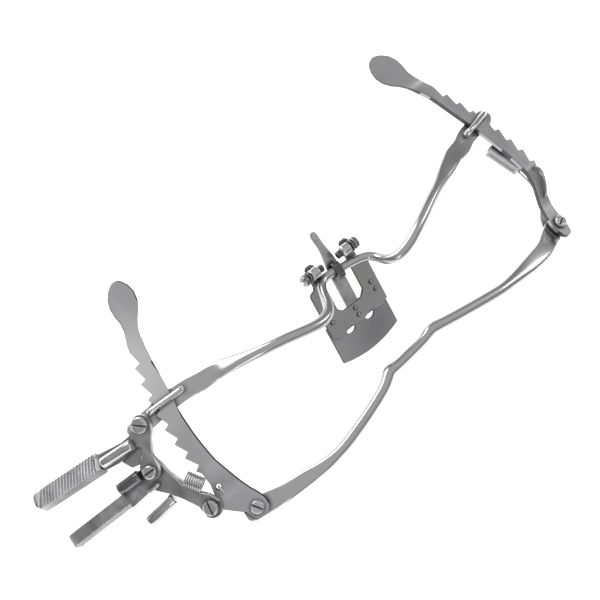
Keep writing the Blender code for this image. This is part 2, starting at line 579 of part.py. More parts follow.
# blade under the carrier, with a convex end and two crescent openings
blade_top = -8.2 * MM - 4.6 * MM
bt = BLADE_THICKNESS
arc = []
for i in range(11):
    t = 1 - i / 5
    arc.append((H * t, -BLADE_CORNER - (BLADE_LENGTH - BLADE_CORNER) * (1 - t * t)))
blade_outline = [(H, blade_top)] + arc + [(-H, blade_top)]
blade = prism("tongue_blade", blade_outline, -pt - GAP - bt, -pt - GAP, TONGUE, BRUSHED, hinge_line)
for sx in (-1, 1):
    crescent = []
    for i in range(9):
        a = math.pi * (0.02 + 0.96 * i / 8)
        crescent.append(((sx * 4.3 + 2.0 * math.cos(a)) * MM, (-17.9 - 1.5 * math.sin(a)) * MM))
    for i in range(1, 6):
        a = math.pi * (1 - i / 6)
        crescent.append(((sx * 4.3 + 1.9 * math.cos(a)) * MM, (-17.75 + 0.15 * math.sin(a)) * MM))
    tool = prism("blade_opening_%s" % ("l" if sx < 0 else "r"), crescent, -4 * MM, 3 * MM, TONGUE, None,
                 hinge_line, smooth=False, home=cutters)
    cut(blade, tool)

# rivet heads on the carrier
for i, (x, y) in enumerate(((0.0, -12.3), (0.0, -15.0), (9.6, -8.4), (10.0, -11.4), (-9.6, -8.4), (-10.0, -11.4))):
    place = TONGUE @ Matrix.Translation((x * MM, y * MM, pt + 0.05 * MM))
    r, h = RIVET_RADIUS, RIVET_HEIGHT
    lathe("plate_rivet_%d" % (i + 1), [(0, 0), (r, 0), (r * 0.92, h * 0.55), (r * 0.5, h), (0, h)], place,
          SATIN, place.to_translation(), segments=16)

# finger strip: behind the bar, down the notch, thumb end bent forward
S = STRIP_HALF_WIDTH * 2
st = STRIP_THICKNESS


def strip_row(y, z, width):
    p = TONGUE @ Vector((0.0, y * MM, z * MM))
    lean_up = TONGUE.to_3x3() @ Vector((0, 0, 1))
    return list(p) + list(lean_up) + [width, st, 6]


strip_rows = [strip_row(-9.9, 0.0, S), strip_row(-6.0, 0.0, S), strip_row(0.0, 0.0, S), strip_row(4.0, 0.0, S),
              strip_row(8.0, 0.0, S * 0.8), strip_row(10.8, -0.3, S * 0.58), strip_row(13.6, -0.9, S * 0.53),
              strip_row(15.2, -1.3, S * 0.55), strip_row(16.8, -1.7, S * 0.5), strip_row(17.5, -1.9, S * 0.26)]
sweep("finger_strip", strip_rows, 2, BRUSHED, hinge_line)

# catch block on the bar beside the strip
bar_dir = (Vector((5.8, 36.3, 11.3)) - Vector((-1.0, 37.9, 11.3))).normalized()
bar_mid = hinge_line - bar_dir * BLOCK_SHIFT
by = Vector((0, 0, 1)).cross(bar_dir).normalized()
block_place = frame(bar_mid, bar_dir, by, Vector((0, 0, 1)))
block_outline = [(-3.2 * MM, -1.0 * MM), (-2.6 * MM, -2.2 * MM), (-0.7 * MM, -2.2 * MM), (2.9 * MM, 0.2 * MM),
                 (2.4 * MM, 1.4 * MM), (1.2 * MM, 2.2 * MM), (-2.4 * MM, 2.2 * MM), (-3.2 * MM, 1.4 * MM)]
along = Matrix(((0, 0, 1, 0), (1, 0, 0, 0), (0, 1, 0, 0), (0, 0, 0, 1)))
block = prism("catch_block", block_outline, -1.3 * MM, 1.3 * MM, block_place @ along, DARK, bar_mid,
              smooth=False)
hole(block, block_place @ along, BA / 2 + GAP, 4 * MM)

# clamp screws over the ears of the carrier
for name, sign in (("left", -1), ("right", 1)):
    cx = CLAMP_SHIFT + sign * CLAMP_SPREAD
    cz = pt + GAP + max(BARREL_RADIUS, DISC_RADIUS)
    spin = Matrix.Rotation(math.radians(90 * sign), 4, "Y")
    place = TONGUE @ Matrix.Translation((cx, CLAMP_HEIGHT, cz)) @ spin
    L = BARREL_LENGTH / 2
    r = BARREL_RADIUS
    centre = place.to_translation()
    lathe(name + "_clamp_barrel",
          [(0, -L), (r * 0.72, -L), (r, -L + 0.7 * MM), (r, L - 0.4 * MM), (r - 0.4 * MM, L), (0, L)],
          place, BRIGHT, centre)
    z = L + GAP
    lathe(name + "_clamp_disc", rod(DISC_RADIUS, z, z + 0.8 * MM, 0.2 * MM), place, DARK, centre)
    z += 0.8 * MM + GAP
    head = lathe(name + "_clamp_screw", rod(CLAMP_HEAD_RADIUS, z, z + 1.9 * MM, 0.3 * MM), place, BRIGHT, centre)
    slot(head, place @ Matrix.Rotation(math.radians(30), 4, "Z"), 0.7 * MM, 4 * MM, z + 1.9 * MM, 0.9 * MM)
    z = -L - GAP
    lathe(name + "_clamp_stud", rod(1.3 * MM, z - 1.4 * MM, z, 0.25 * MM), place, DARK, centre, segments=18)

# spreader frame: x outward along the grips, y with the jaws, z out of its face
cg, sg = math.cos(SPREADER_TILT), math.sin(SPREADER_TILT)
LEVER_POINT = Vector((-PIVOT_SPAN / 2 - 16.5 * MM, 31.2 * MM, 0.0))
SPREAD = frame(LEVER_POINT, (-cg, 0, -sg), (0, 1, 0), (-sg, 0, cg))
upper_low = 0.5 * MM
upper_high = upper_low + LEVER_THICKNESS
lower_high = -0.7 * MM
lower_low = lower_high - LEVER_THICKNESS
BOSS_UP = (-8.4 * MM, 12.7 * MM)
BOSS_LOW = (-5.4 * MM, -21.4 * MM)


def circle(cx, cy, r, a0, a1, n):
    return [(cx + r * math.cos(math.radians(a0 + (a1 - a0) * i / n)),
             cy + r * math.sin(math.radians(a0 + (a1 - a0) * i / n))) for i in range(n + 1)]


def scaled(points):
    return [(x * MM, y * MM) for x, y in points]


upper_outline = scaled([(11.5, 16.3), (8.1, 15.4), (3.5, 13.9), (0.3, 13.0), (-2.6, 12.8)])
upper_outline += circle(BOSS_UP[0], BOSS_UP[1], 3.1 * MM, 10, 215, 9)
upper_outline += scaled([(-9.4, 8.7), (-7.6, 7.3), (-5.4, 4.9), (-3.9, 2.5)])
upper_outline += circle(0, 0, 3.0 * MM, 195, 370, 8)
upper_outline += scaled([(1.8, 3.4), (-1.3, 5.2), (-3.4, 7.3), (-2.5, 8.5), (5.6, 8.8), (11.5, 10.5)])
upper = prism("upper_lever", upper_outline, upper_low, upper_high, SPREAD, SATIN, LEVER_POINT)

lower_outline = scaled([(14.2, 1.7), (12.9, 3.6), (3.0, 3.0)])
lower_outline += circle(0, 0, 3.2 * MM, 75, 190, 7)
lower_outline += scaled([(-3.2, -4.6), (-4.3, -9.4), (-5.4, -13.6), (-7.4, -17.8)])
lower_outline += circle(BOSS_LOW[0], BOSS_LOW[1], 3.6 * MM, 150, 340, 10)
lower_outline += scaled([(-2.3, -18.4), (-0.3, -13.2), (2.0, -8.8), (5.2, -4.2), (14.2, -3.8)])
lower = prism("lower_lever", lower_outline, lower_low, lower_high, SPREAD, SATIN, LEVER_POINT)


def grip(lever, name, root, end, mid, roll, slant):
    """Serrated bar with one ridged face, a tapered end and a rolled section."""
    start = Vector((root[0] * MM, root[1] * MM, mid))
    finish = Vector((end[0] * MM, end[1] * MM, mid))
    along_dir = (finish - start).normalized()
    length = (finish - start).length
    z_dir = Vector((0, 0, 1))
    y_dir = z_dir.cross(along_dir)
    face = math.cos(roll) * z_dir + math.sin(roll) * y_dir
    side_dir = math.cos(roll) * y_dir - math.sin(roll) * z_dir
    w, t = GRIP_WIDTH / 2, GRIP_THICKNESS / 2
    stations = []
    pitch = (length - 3.0 * MM) / RIDGE_COUNT
    for i in range(RIDGE_COUNT):
        s = 1.2 * MM + i * pitch
        stations += [(s, 0.0), (s + 0.45 * pitch, RIDGE_DEPTH)]
    rows = [(0.0, RIDGE_DEPTH * 0.5, 1.0)] + [(s, d, 1.0) for s, d in stations]
    last_s = stations[-1][0]
    rows += [(last_s + (length - last_s) * 0.5, 0.0, 0.9), (length - 0.5 * MM, 0.0, 0.62), (length, 0.2 * MM, 0.3)]
    rings = []
    for s, d, taper in rows:
        if s > length - 7 * MM and taper == 1.0:
            taper = 1.0 - 0.12 * ((s - (length - 7 * MM)) / (7 * MM)) ** 2
        ring = []
        for dy, dz in ((-w * taper, -t), (w * taper, -t), (w * taper, t - d), (-w * taper, t - d)):
            ridged = dz > 0 and 0 < s < length - 2 * MM
            shift = slant * (dy / w) * min(1.0, s / (2 * MM)) if ridged else 0
            ring.append(SPREAD @ (start + along_dir * (s + shift) + side_dir * dy + face * dz))
        rings.append(ring)
    bm = bmesh.new()
    loft(bm, rings)
    bar = make(name, bm, SATIN, SPREAD @ start, smooth=False, home=cutters)
    bar.hide_render = True
    bar.display_type = "WIRE"
    mod = lever.modifiers.new(name, "BOOLEAN")
    mod.operation = "UNION"
    mod.solver = "EXACT"
    mod.object = bar


grip(upper, "upper_grip", (10.4, 13.3), (36.4, 18.6), (upper_low + upper_high) / 2, math.radians(30), -0.9 * MM)
grip(lower, "lower_grip", (13.0, -1.2), (37.8, 1.9), (lower_low + lower_high) / 2, math.radians(-80), 0.3 * MM)


def laid_rod(name, a, c, height, radius, mat, segments=20, bevel=0.35):
    p, q = SPREAD @ Vector((a[0] * MM, a[1] * MM, height)), SPREAD @ Vector((c[0] * MM, c[1] * MM, height))
    axis = (q - p)
    rot = axis.to_track_quat("Z", "Y").to_matrix().to_4x4()
    place = Matrix.Translation(p) @ rot
    return lathe(name, rod(radius, 0, axis.length, bevel * MM), place, mat, p, segments)


laid_rod("upper_barrel", (9.3, 12.6), (-2.6, 10.1), upper_high + GAP + BARREL_ROD_RADIUS, BARREL_ROD_RADIUS, BRIGHT)
laid_rod("lower_barrel", (12.4, 3.0), (3.8, 1.7), lower_high + GAP + PEG_RADIUS, PEG_RADIUS, DARK)
laid_rod("stop_peg", (14.2, -10.7), (2.4, -10.9), lower_low - GAP + 0.2 * MM, PEG_RADIUS, BRIGHT)
laid_rod("latch_pin", (6.4, -4.0), (1.5, -4.4), lower_high + GAP + 0.75 * MM, 0.75 * MM, BRIGHT, 14)

web = scaled([(-2.7, 7.3), (1.9, 4.1), (4.6, 5.2), (5.6, 8.3), (5.5, 9.2), (-1.8, 9.2)])
prism("grip_web", web, lower_high + 0.25 * MM, upper_low - 0.25 * MM, SPREAD, BRIGHT, SPREAD @ Vector((2 * MM, 7 * MM, 0)))


def boss_screw(name, centre, low, head_low, shank, head, turn):
    place = SPREAD @ Matrix.Translation((centre[0], centre[1], 0))
    bevel = 0.35 * MM
    top = head_low + 1.8 * MM
    screw = lathe(name, [(0, low), (shank, low), (shank, head_low), (head, head_low), (head, top - bevel),
                         (head - bevel, top), (0, top)], place, BRIGHT, place.to_translation())
    slot(screw, place @ Matrix.Rotation(math.radians(turn), 4, "Z"), 0.7 * MM, 5 * MM, top, 0.8 * MM)
    return place


for lever, centre in ((upper, BOSS_UP), (upper, (0, 0)), (lower, (0, 0)), (lower, BOSS_LOW)):
    hole(lever, SPREAD @ Matrix.Translation((centre[0], centre[1], 0)), PIVOT_HOLE_RADIUS, 6 * MM, 20)
boss_screw("upper_boss_screw", BOSS_UP, upper_low + 0.2 * MM, upper_high + GAP, PIVOT_SHANK_RADIUS, 2.7 * MM, 50)
boss_screw("lower_boss_screw", BOSS_LOW, lower_low - 0.2 * MM, lower_high + GAP, PIVOT_SHANK_RADIUS, 2.5 * MM, 110)
boss_screw("spreader_pin", (0, 0), lower_low, upper_high + GAP, PIVOT_SHANK_RADIUS, 2.2 * MM, 10)
collar_place = SPREAD @ Matrix.Translation((BOSS_LOW[0], BOSS_LOW[1], 0))
lathe("lower_boss_collar", rod(3.2 * MM, lower_low - GAP - 1.1 * MM, lower_low - GAP, 0.2 * MM), collar_place,
      SATIN, collar_place.to_translation())

# torsion spring beside the lower lever
coil_a = Vector((-7.2, -9.3, 2.5)) * MM
coil_b = Vector((-9.8, -14.9, 2.5)) * MM
axis = (coil_b - coil_a).normalized()
e1 = Vector((0, 0, 1))
e2 = axis.cross(e1)
coil = [Vector((-5.2, 3.6, 3.6)) * MM, Vector((-5.2, -2.0, 3.9)) * MM]
turns = SPRING_TURNS
per = 12
span = (coil_b - coil_a).length
for i in range(turns * per + 1):
    a = 2 * math.pi * i / per + 0.6
    coil.append(coil_a + axis * (span * i / (turns * per)) + (e1 * math.cos(a) + e2 * math.sin(a)) * SPRING_RADIUS)
coil += [Vector((-10.0, -18.4, 3.6)) * MM, Vector((-10.6, -21.6, 3.2)) * MM]
wire("spreader_spring", [SPREAD @ p for p in coil], SPRING_WIRE_RADIUS, 1, SPRING, SPREAD @ coil_a, rounding=1)

# wire hooks on the racks
left = CHEEK["left"]
hook_n = lift(hook_v)
top = RACK_THICKNESS / 2
hook_pts = [(hook_u, hook_v, hook_n - top), (hook_u, hook_v, hook_n + top + 0.5 * MM),
            (hook_u + 0.1 * MM, hook_v - 0.6 * MM, hook_n + top + 0.9 * MM),
            (hook_u + 0.4 * MM, hook_v - 3.4 * MM, hook_n + top + 0.5 * MM)]
wire("left_spring_hook", [left @ Vector(p) for p in hook_pts], 0.42 * MM, 2, BRIGHT,
     left @ Vector(hook_pts[0]))
loop = []
for u, v, dn in ((2.6, 19.6, 0.0), (3.6, 18.6, 0.4), (4.4, 17.0, 0.5), (4.7, 14.8, 0.4), (4.3, 12.4, 0.3),
                 (3.2, 10.4, 0.2), (2.2, 9.6, 0.0)):
    loop.append(right @ Vector((u * MM, v * MM, lift(v * MM) + top + GAP + (0.5 + dn) * MM)))
wire("right_spring_hook", loop, 0.5 * MM, 2, SPRING, loop[0])

# the part stands on its lowest point, with the origin centred under its box
bpy.context.view_layer.update()
graph = bpy.context.evaluated_depsgraph_get()
corners = []
for obj in part.objects:
    shape = obj.evaluated_get(graph)
    mesh = shape.to_mesh()
    corners += [shape.matrix_world @ v.co for v in mesh.vertices]
    shape.to_mesh_clear()
low = [min(c[i] for c in corners) for i in range(3)]
high = [max(c[i] for c in corners) for i in range(3)]
BASE = Vector((-(low[0] + high[0]) / 2, -(low[1] + high[1]) / 2, -low[2]))
for obj in list(part.objects) + list(cutters.objects):
    obj.location += BASE
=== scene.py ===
"""Looks of a two-bow ratchet mouth gag in satin stainless steel."""

import json
import math

import bmesh
import bpy
from mathutils import Matrix, Vector
from mathutils.bvhtree import BVHTree

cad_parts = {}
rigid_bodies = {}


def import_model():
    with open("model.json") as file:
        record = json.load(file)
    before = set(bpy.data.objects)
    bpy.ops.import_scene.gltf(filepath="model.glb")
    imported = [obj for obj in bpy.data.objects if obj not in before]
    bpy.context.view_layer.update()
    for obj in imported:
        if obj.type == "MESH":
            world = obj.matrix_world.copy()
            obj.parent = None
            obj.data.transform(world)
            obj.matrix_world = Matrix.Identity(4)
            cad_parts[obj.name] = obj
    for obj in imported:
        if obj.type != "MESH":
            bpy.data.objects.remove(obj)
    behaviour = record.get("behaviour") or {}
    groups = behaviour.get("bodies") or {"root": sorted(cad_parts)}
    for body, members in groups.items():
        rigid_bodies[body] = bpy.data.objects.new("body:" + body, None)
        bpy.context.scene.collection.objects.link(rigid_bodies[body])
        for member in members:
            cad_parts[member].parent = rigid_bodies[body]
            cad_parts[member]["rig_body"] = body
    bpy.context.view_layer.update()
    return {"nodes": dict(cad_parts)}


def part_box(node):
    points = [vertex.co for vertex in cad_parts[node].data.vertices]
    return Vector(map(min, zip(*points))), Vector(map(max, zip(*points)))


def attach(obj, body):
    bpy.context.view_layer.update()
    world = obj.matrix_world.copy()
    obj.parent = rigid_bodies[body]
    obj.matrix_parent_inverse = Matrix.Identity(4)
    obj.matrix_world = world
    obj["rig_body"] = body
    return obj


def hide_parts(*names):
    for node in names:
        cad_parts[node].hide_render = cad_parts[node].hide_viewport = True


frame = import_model()
MM = 0.001

# The camera looks down on the gag from the tooth bow's side through a long
# lens, as in a catalogue picture. Its place is given from the middle of the
# line between the two rack pivots.
washers = [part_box(side + "_pivot_washer") for side in ("left", "right")]
washers_to_pivots = Vector((0, 0, 1.36 * MM))
pivot_middle = sum((low + high for low, high in washers), Vector()) / 4 + washers_to_pivots
camera_from_pivots = Vector((-0.3026, -0.0227, 0.6635))
image_right = Vector((0.6822, -0.6938, 0.2306))
image_down = Vector((-0.6141, -0.7149, -0.3343))
forward = Vector((0.3968, 0.0865, -0.9138))
lens = bpy.data.cameras.new("catalogue_lens")
lens.lens = 132.0
lens.sensor_width = 36.0
lens.clip_start = 0.01
camera = bpy.data.objects.new("catalogue_camera", lens)
bpy.context.scene.collection.objects.link(camera)
turn = Matrix((image_right, -image_down, -forward)).transposed().to_4x4()
camera.matrix_world = Matrix.Translation(pivot_middle + camera_from_pivots) @ turn
bpy.context.scene.camera = camera
bpy.context.scene.view_settings.view_transform = "Standard"

# The gag lies on a sheet of white paper. The paper shows white to the camera
# and in the steel, and keeps the soft shadow under the gag.
paper_half_width, paper_glow = 3.0, 0.72
work = bmesh.new()
bmesh.ops.create_grid(work, x_segments=1, y_segments=1, size=paper_half_width)
sheet = bpy.data.meshes.new("white_sheet")
work.to_mesh(sheet)
work.free()
floor = bpy.data.objects.new("white_sheet", sheet)
bpy.context.scene.collection.objects.link(floor)
paper = bpy.data.materials.new("white_paper")
paper.use_nodes = True
nodes, links = paper.node_tree.nodes, paper.node_tree.links
nodes.clear()
surface = nodes.new("ShaderNodeOutputMaterial")
matt = nodes.new("ShaderNodeBsdfDiffuse")
matt.inputs["Color"].default_value = (0.92, 0.92, 0.92, 1.0)
glow = nodes.new("ShaderNodeEmission")
rays = nodes.new("ShaderNodeLightPath")
seen = rays.outputs["Is Camera Ray"]
for ray in ("Is Glossy Ray", "Is Transmission Ray"):
    either = nodes.new("ShaderNodeMath")
    either.operation = "MAXIMUM"
    links.new(seen, either.inputs[0])
    links.new(rays.outputs[ray], either.inputs[1])
    seen = either.outputs[0]
level = nodes.new("ShaderNodeMath")
level.operation = "MULTIPLY"
level.inputs[1].default_value = paper_glow
links.new(seen, level.inputs[0])
links.new(level.outputs[0], glow.inputs["Strength"])
both = nodes.new("ShaderNodeAddShader")
links.new(matt.outputs[0], both.inputs[0])
links.new(glow.outputs[0], both.inputs[1])
links.new(both.outputs[0], surface.inputs["Surface"])
sheet.materials.append(paper)

# The light is a pale tent, brighter overhead than at its skirt, with a long
# soft box beyond the tongue bow and two small ones at the sides.
tent = bpy.data.worlds.new("light_tent")
bpy.context.scene.world = tent
tent.use_nodes = True
nodes, links = tent.node_tree.nodes, tent.node_tree.links
place = nodes.new("ShaderNodeTexCoord")
split = nodes.new("ShaderNodeSeparateXYZ")
links.new(place.outputs["Generated"], split.inputs[0])
rise = nodes.new("ShaderNodeMapRange")
rise.interpolation_type = "SMOOTHSTEP"
rise.inputs["From Min"].default_value = 0.05
rise.inputs["From Max"].default_value = 0.95
rise.inputs["To Min"].default_value = 0.22
rise.inputs["To Max"].default_value = 0.58
links.new(split.outputs["Z"], rise.inputs["Value"])
links.new(rise.outputs["Result"], nodes["Background"].inputs["Strength"])
nodes["Background"].inputs["Color"].default_value = (1.0, 1.0, 1.0, 1.0)
gag_middle = Vector((0, 0, 0.02))
for name, spot, width, height, watts in (
        ("long_soft_box", (-0.10, 0.85, 0.42), 0.70, 0.40, 3.8),
        ("side_soft_box", (0.75, -0.15, 0.55), 0.20, 0.40, 0.8),
        ("front_soft_box", (-0.55, -0.60, 0.45), 0.30, 0.30, 0.7)):
    lamp = bpy.data.lights.new(name, "AREA")
    lamp.shape = "RECTANGLE"
    lamp.size = width
    lamp.size_y = height
    lamp.energy = watts
    hung = bpy.data.objects.new(name, lamp)
    bpy.context.scene.collection.objects.link(hung)
    hung.location = spot
    hung.rotation_euler = (gag_middle - Vector(spot)).to_track_quat("-Z", "Y").to_euler()


# The two bows are round stainless wire, bent cold, with hammered straps and
# eyes at their ends and a stepped middle bar. They are buffed lengthwise, so
# fine streaks run along the wire and handling leaves cloudy patches.
def steel_marks_group():
    """Streaks from the buffing wheel, clouds from handling and fine pits, as masks from 0 to 1."""
    group = bpy.data.node_groups.new("steel_marks", "ShaderNodeTree")
    for name, value in (("Streak Scale", 60.0), ("Cloud Scale", 25.0), ("Pit Scale", 900.0)):
        scale = group.interface.new_socket(name, in_out="INPUT", socket_type="NodeSocketFloat")
        scale.default_value = value
    stretch_in = group.interface.new_socket("Streak Stretch", in_out="INPUT",
                                            socket_type="NodeSocketVector")
    stretch_in.default_value = (1.0, 8.0, 8.0)
    for name in ("Streaks", "Clouds", "Pits"):
        group.interface.new_socket(name, in_out="OUTPUT", socket_type="NodeSocketFloat")
    nodes, links = group.nodes, group.links
    given = nodes.new("NodeGroupInput")
    result = nodes.new("NodeGroupOutput")
    place = nodes.new("ShaderNodeTexCoord")
    stretch = nodes.new("ShaderNodeVectorMath")
    stretch.operation = "MULTIPLY"
    links.new(place.outputs["Object"], stretch.inputs[0])
    links.new(given.outputs["Streak Stretch"], stretch.inputs[1])
    for vector, name, detail in ((stretch.outputs[0], "Streak", 5.0),
                                 (place.outputs["Object"], "Cloud", 3.0),
                                 (place.outputs["Object"], "Pit", 1.0)):
        noise = nodes.new("ShaderNodeTexNoise")
        noise.inputs["Detail"].default_value = detail
        links.new(vector, noise.inputs["Vector"])
        links.new(given.outputs[name + " Scale"], noise.inputs["Scale"])
        spread = nodes.new("ShaderNodeMapRange")
        spread.inputs["From Min"].default_value = 0.3
        spread.inputs["From Max"].default_value = 0.7
        links.new(noise.outputs["Fac"], spread.inputs["Value"])
        links.new(spread.outputs["Result"], result.inputs[name + "s"])
    return group


steel_marks = steel_marks_group()


def steel_wear_and_shade_group():
    """Sawn sides, bevelled edges and closed corners, laid over a steel's own tone: the sawn and
    edge tones are partly painted shade and painted highlight, and the darkening of closed corners
    is painted shade.
    """
    group = bpy.data.node_groups.new("steel_wear_and_shade", "ShaderNodeTree")
    for name in ("Tone", "Sawn And Shade Tone", "Edge Wear And Light Tone", "Corner Shade Tone"):
        group.interface.new_socket(name, in_out="INPUT", socket_type="NodeSocketColor")
    for name in ("Sawn And Shade", "Edge Wear And Light", "Openness"):
        group.interface.new_socket(name, in_out="INPUT", socket_type="NodeSocketFloat")
    group.interface.new_socket("Colour", in_out="OUTPUT", socket_type="NodeSocketColor")
    group.interface.new_socket("Unshaded Metal", in_out="OUTPUT", socket_type="NodeSocketFloat")
    nodes, links = group.nodes, group.links
    given = nodes.new("NodeGroupInput")
    result = nodes.new("NodeGroupOutput")
    under = given.outputs["Tone"]
    # Sawn sides and bevelled edges take tones of their own over the steel's tone, partly painted
    # shade and painted highlight.
    for name in ("Sawn And Shade", "Edge Wear And Light"):
        over = nodes.new("ShaderNodeMix")
        over.data_type = "RGBA"
        links.new(given.outputs[name], over.inputs["Factor"])
        links.new(under, over.inputs["A"])
        links.new(given.outputs[name + " Tone"], over.inputs["B"])
        under = over.outputs["Result"]
    # Painted shade: where the occlusion finds a corner closed, the colour turns to the corner
    # shade tone and stops being metal.
    unshaded = nodes.new("ShaderNodeMapRange")
    unshaded.inputs["From Min"].default_value = 0.30
    unshaded.inputs["From Max"].default_value = 0.92
    links.new(given.outputs["Openness"], unshaded.inputs["Value"])
    corner_shaded = nodes.new("ShaderNodeMix")
    corner_shaded.data_type = "RGBA"
    links.new(unshaded.outputs["Result"], corner_shaded.inputs["Factor"])
    links.new(given.outputs["Corner Shade Tone"], corner_shaded.inputs["A"])
    links.new(under, corner_shaded.inputs["B"])
    links.new(corner_shaded.outputs["Result"], result.inputs["Colour"])
    links.new(unshaded.outputs["Result"], result.inputs["Unshaded Metal"])
    return group


steel_wear_and_shade = steel_wear_and_shade_group()


def steel(name, dark, light, smooth, rough, stretch=(1.0, 1.0, 1.0), streaks=60.0, clouds=25.0,
          relief=0.15, edge_wear_and_light_tone=(0.80, 0.80, 0.81), sawn_and_shade=(0.24, 0.24, 0.25), reach=1.8 * MM):
    """A steel whose tone and polish follow its streaks and clouds. Bevelled edges and sawn sides
    have tones of their own, partly wear and partly painted highlight and painted shade, and
    painted shade darkens the corners within reach of another face."""
    corner_shade_tone, cloud_share, scratch_depth = (0.02, 0.02, 0.022), 0.55, 0.03 * MM
    mat = bpy.data.materials.new(name)
    mat.use_nodes = True
    nodes, links = mat.node_tree.nodes, mat.node_tree.links
    shader = nodes["Principled BSDF"]
    marks = nodes.new("ShaderNodeGroup")
    marks.node_tree = steel_marks
    marks.inputs["Streak Scale"].default_value = streaks
    marks.inputs["Cloud Scale"].default_value = clouds
    marks.inputs["Streak Stretch"].default_value = stretch
    tone = nodes.new("ShaderNodeMix")
    tone.inputs["Factor"].default_value = cloud_share
    links.new(marks.outputs["Streaks"], tone.inputs["A"])
    links.new(marks.outputs["Clouds"], tone.inputs["B"])
    colour = nodes.new("ShaderNodeMix")
    colour.data_type = "RGBA"
    colour.inputs["A"].default_value = (*dark, 1.0)
    colour.inputs["B"].default_value = (*light, 1.0)
    links.new(tone.outputs["Result"], colour.inputs["Factor"])
    wear_and_painted_light = nodes.new("ShaderNodeGroup")
    wear_and_painted_light.name = "wear_and_painted_light"
    wear_and_painted_light.node_tree = steel_wear_and_shade
    wear_and_painted_light.inputs["Sawn And Shade Tone"].default_value = (*sawn_and_shade, 1.0)
    wear_and_painted_light.inputs["Edge Wear And Light Tone"].default_value = (*edge_wear_and_light_tone, 1.0)
    wear_and_painted_light.inputs["Corner Shade Tone"].default_value = (*corner_shade_tone, 1.0)
    links.new(colour.outputs["Result"], wear_and_painted_light.inputs["Tone"])
    # The sawn sides and bevelled edges marked on the mesh pick these tones, partly painted shade
    # and painted highlight.
    for attribute, mask in (("sawn_side_and_shade", "Sawn And Shade"), ("edge_wear_and_light", "Edge Wear And Light")):
        marked = nodes.new("ShaderNodeAttribute")
        marked.attribute_name = attribute
        links.new(marked.outputs["Fac"], wear_and_painted_light.inputs[mask])
    # Painted shade: ambient occlusion darkens every steel near other faces.
    corner = nodes.new("ShaderNodeAmbientOcclusion")
    corner.samples = 16
    corner.inputs["Distance"].default_value = reach
    links.new(corner.outputs["AO"], wear_and_painted_light.inputs["Openness"])
    links.new(wear_and_painted_light.outputs["Colour"], shader.inputs["Base Color"])
    links.new(wear_and_painted_light.outputs["Unshaded Metal"], shader.inputs["Metallic"])
    gloss = nodes.new("ShaderNodeMapRange")
    gloss.inputs["To Min"].default_value = smooth
    gloss.inputs["To Max"].default_value = rough
    links.new(marks.outputs["Streaks"], gloss.inputs["Value"])
    links.new(gloss.outputs["Result"], shader.inputs["Roughness"])
    grain = nodes.new("ShaderNodeMath")
    grain.operation = "ADD"
    links.new(marks.outputs["Streaks"], grain.inputs[0])
    links.new(marks.outputs["Pits"], grain.inputs[1])
    height = nodes.new("ShaderNodeBump")
    height.inputs["Strength"].default_value = relief
    height.inputs["Distance"].default_value = scratch_depth
    links.new(grain.outputs[0], height.inputs["Height"])
    links.new(height.outputs["Normal"], shader.inputs["Normal"])
    return mat


def painted_highlight_group():
    """A painted highlight on a steel: a pool of lighter tone, brightest at its centre."""
    group = bpy.data.node_groups.new("painted_highlight", "ShaderNodeTree")
    for name, kind in (("Tone", "Color"), ("Highlight Tone", "Color"),
                       ("Centre", "Vector"), ("Radius", "Float")):
        group.interface.new_socket(name, in_out="INPUT", socket_type="NodeSocket" + kind)
    group.interface.new_socket("Colour", in_out="OUTPUT", socket_type="NodeSocketColor")
    nodes, links = group.nodes, group.links
    given = nodes.new("NodeGroupInput")
    result = nodes.new("NodeGroupOutput")
    place = nodes.new("ShaderNodeTexCoord")
    away = nodes.new("ShaderNodeVectorMath")
    away.operation = "SUBTRACT"
    links.new(place.outputs["Object"], away.inputs[0])
    links.new(given.outputs["Centre"], away.inputs[1])
    share = nodes.new("ShaderNodeVectorMath")
    share.operation = "DIVIDE"
    links.new(away.outputs[0], share.inputs[0])
    links.new(given.outputs["Radius"], share.inputs[1])
    fade = nodes.new("ShaderNodeTexGradient")
    fade.gradient_type = "SPHERICAL"
    links.new(share.outputs[0], fade.inputs["Vector"])
    brighter = nodes.new("ShaderNodeMix")
    brighter.data_type = "RGBA"
    links.new(fade.outputs["Fac"], brighter.inputs["Factor"])
    links.new(given.outputs["Tone"], brighter.inputs["A"])
    links.new(given.outputs["Highlight Tone"], brighter.inputs["B"])
    links.new(brighter.outputs["Result"], result.inputs["Colour"])
    return group


painted_highlight_marks = painted_highlight_group()


def painted_highlight(mat, centre, radius, tone):
    """Lays one painted highlight over the material's own tone."""
    nodes, links = mat.node_tree.nodes, mat.node_tree.links
    highlight = nodes.new("ShaderNodeGroup")
    highlight.node_tree = painted_highlight_marks
    highlight.inputs["Highlight Tone"].default_value = (*tone, 1.0)
    highlight.inputs["Centre"].default_value = centre
    highlight.inputs["Radius"].default_value = radius
    under = nodes["wear_and_painted_light"].inputs["Tone"]
    links.new(under.links[0].from_socket, highlight.inputs["Tone"])
    links.new(highlight.outputs["Colour"], under)


def bench_copy(node):
    """The node's solid as a merged mesh, ready to be finished."""
    work = bmesh.new()
    work.from_mesh(frame["nodes"][node].data)
    bmesh.ops.remove_doubles(work, verts=work.verts, dist=0.002 * MM)
    return work


def show(work, node, material, crease):
    """Puts the finished mesh on the node's body in place of the plain solid."""
    for face in work.faces:
        face.smooth = True
    data = bpy.data.meshes.new(node + "_finished")
    work.to_mesh(data)
    work.free()
    data.materials.append(material)
    data.set_sharp_from_angle(angle=math.radians(crease))
    piece = bpy.data.objects.new(node + "_finished", data)
    bpy.context.scene.collection.objects.link(piece)
    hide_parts(node)
    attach(piece, frame["nodes"][node]["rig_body"])
    return piece


